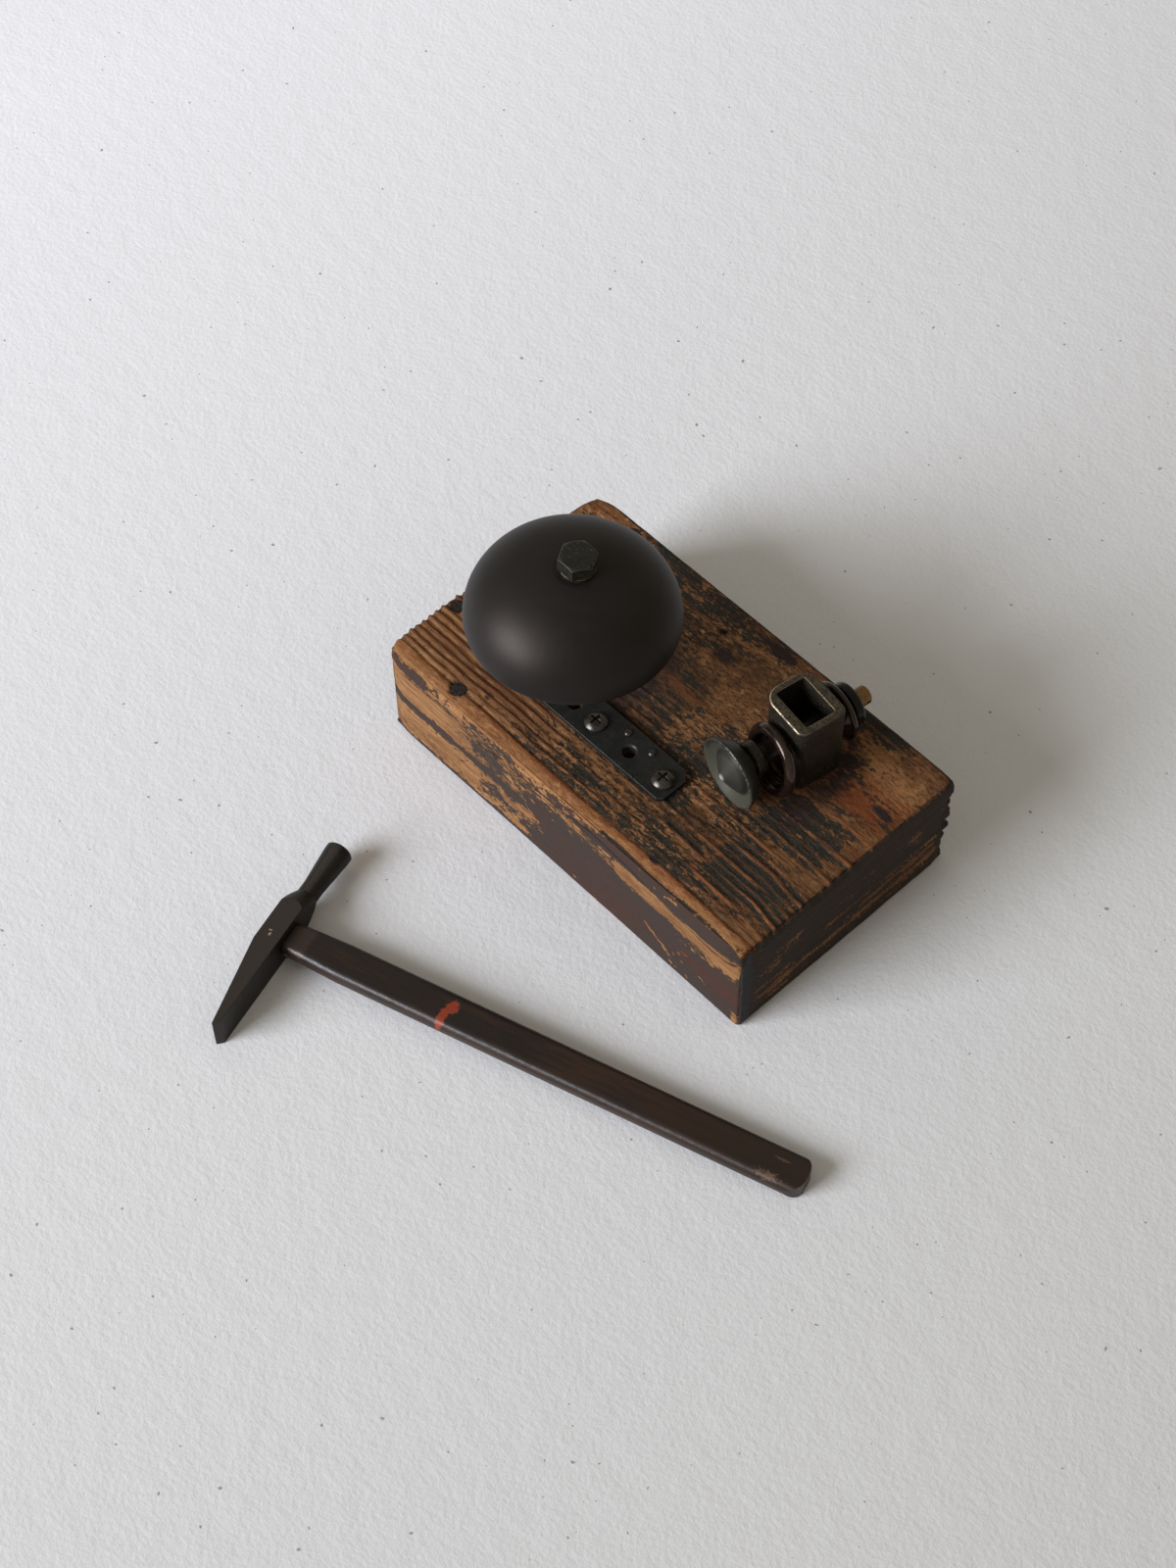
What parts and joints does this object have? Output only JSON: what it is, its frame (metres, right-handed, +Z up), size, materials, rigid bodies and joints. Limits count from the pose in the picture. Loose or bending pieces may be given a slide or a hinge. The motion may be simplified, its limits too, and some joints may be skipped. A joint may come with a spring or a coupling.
{
  "type": "bell demonstrator",
  "caption": "Domed gong on a bent strip bracket and a square clamp socket with a thumbscrew, both screwed to an old wood block, with a slim long-handled hammer lying beside it.",
  "frame": {"origin": "centre of the wood block's underside, on the floor", "axes": "+Z up, +X along the block's grain from the gong to the clamp socket, +Y across the block away from the hammer"},
  "size_m": [0.1988, 0.1975, 0.1068],
  "materials": {
    "wood": "weathered, remnants of dark paint",
    "nail_steel": "dark oxide",
    "black_strip": "blackened, worn bright at the edges",
    "black_screw": "black oxide",
    "pin_steel": "dull",
    "gong_metal": "smooth satin gunmetal",
    "bolt_steel": "patinated",
    "washer_steel": "dull",
    "spacer_brass": "dull",
    "socket_brass": "dark patina, bare at the edges",
    "screw_brass": "dull",
    "flange_brass": "dark, polished rim",
    "nut_steel": "dark satin",
    "spindle_brass": "worn",
    "knob_steel": "grey-green satin",
    "button_steel": "dark satin",
    "hammer_iron": "dark forged",
    "handle_wood": "dark, worn lighter",
    "wedge_steel": "dull"
  },
  "bodies": {
    "base": {"wood_block": "wood", "block_nails": "nail_steel", "bell_bracket": "black_strip", "bracket_screws": "black_screw", "bracket_pins": "pin_steel", "bell_gong": "gong_metal", "bell_bolt": "bolt_steel", "bell_top_washer": "washer_steel", "bell_seat_washer": "washer_steel", "bell_spacer": "spacer_brass", "bell_spring_washer": "washer_steel", "bell_nut": "bolt_steel", "socket_tube": "socket_brass", "socket_screw": "screw_brass", "inner_flange": "flange_brass", "end_nut": "nut_steel"},
    "loose_flange": {"outer_flange": "flange_brass"},
    "clamp": {"clamp_screw": "spindle_brass", "clamp_knob": "knob_steel", "knob_button": "button_steel"},
    "hammer": {"hammer_head": "hammer_iron", "hammer_handle": "handle_wood", "hammer_wedge": "wedge_steel", "hammer_pin": "wedge_steel"}
  },
  "joints": [
    {"name": "clamp_travel", "type": "slide", "parent": "base", "child": "loose_flange", "axis": [-0.1513, -0.9885, 0], "range_m": [0, 0.003]},
    {"name": "knob_turn", "type": "hinge", "parent": "loose_flange", "child": "clamp", "pos_m": [0.038, 0.017, 0.0506], "axis": [-0.1513, -0.9885, 0], "range_deg": [0, 1080]},
    {"name": "hammer_lift", "type": "slide", "parent": "base", "child": "hammer", "axis": [0, 0, 1], "range_m": [0, 0.12]}
  ],
  "couplings": [
    {"joint": "knob_turn", "follows": "clamp_travel", "rad_per_m": 6283.2}
  ]
}
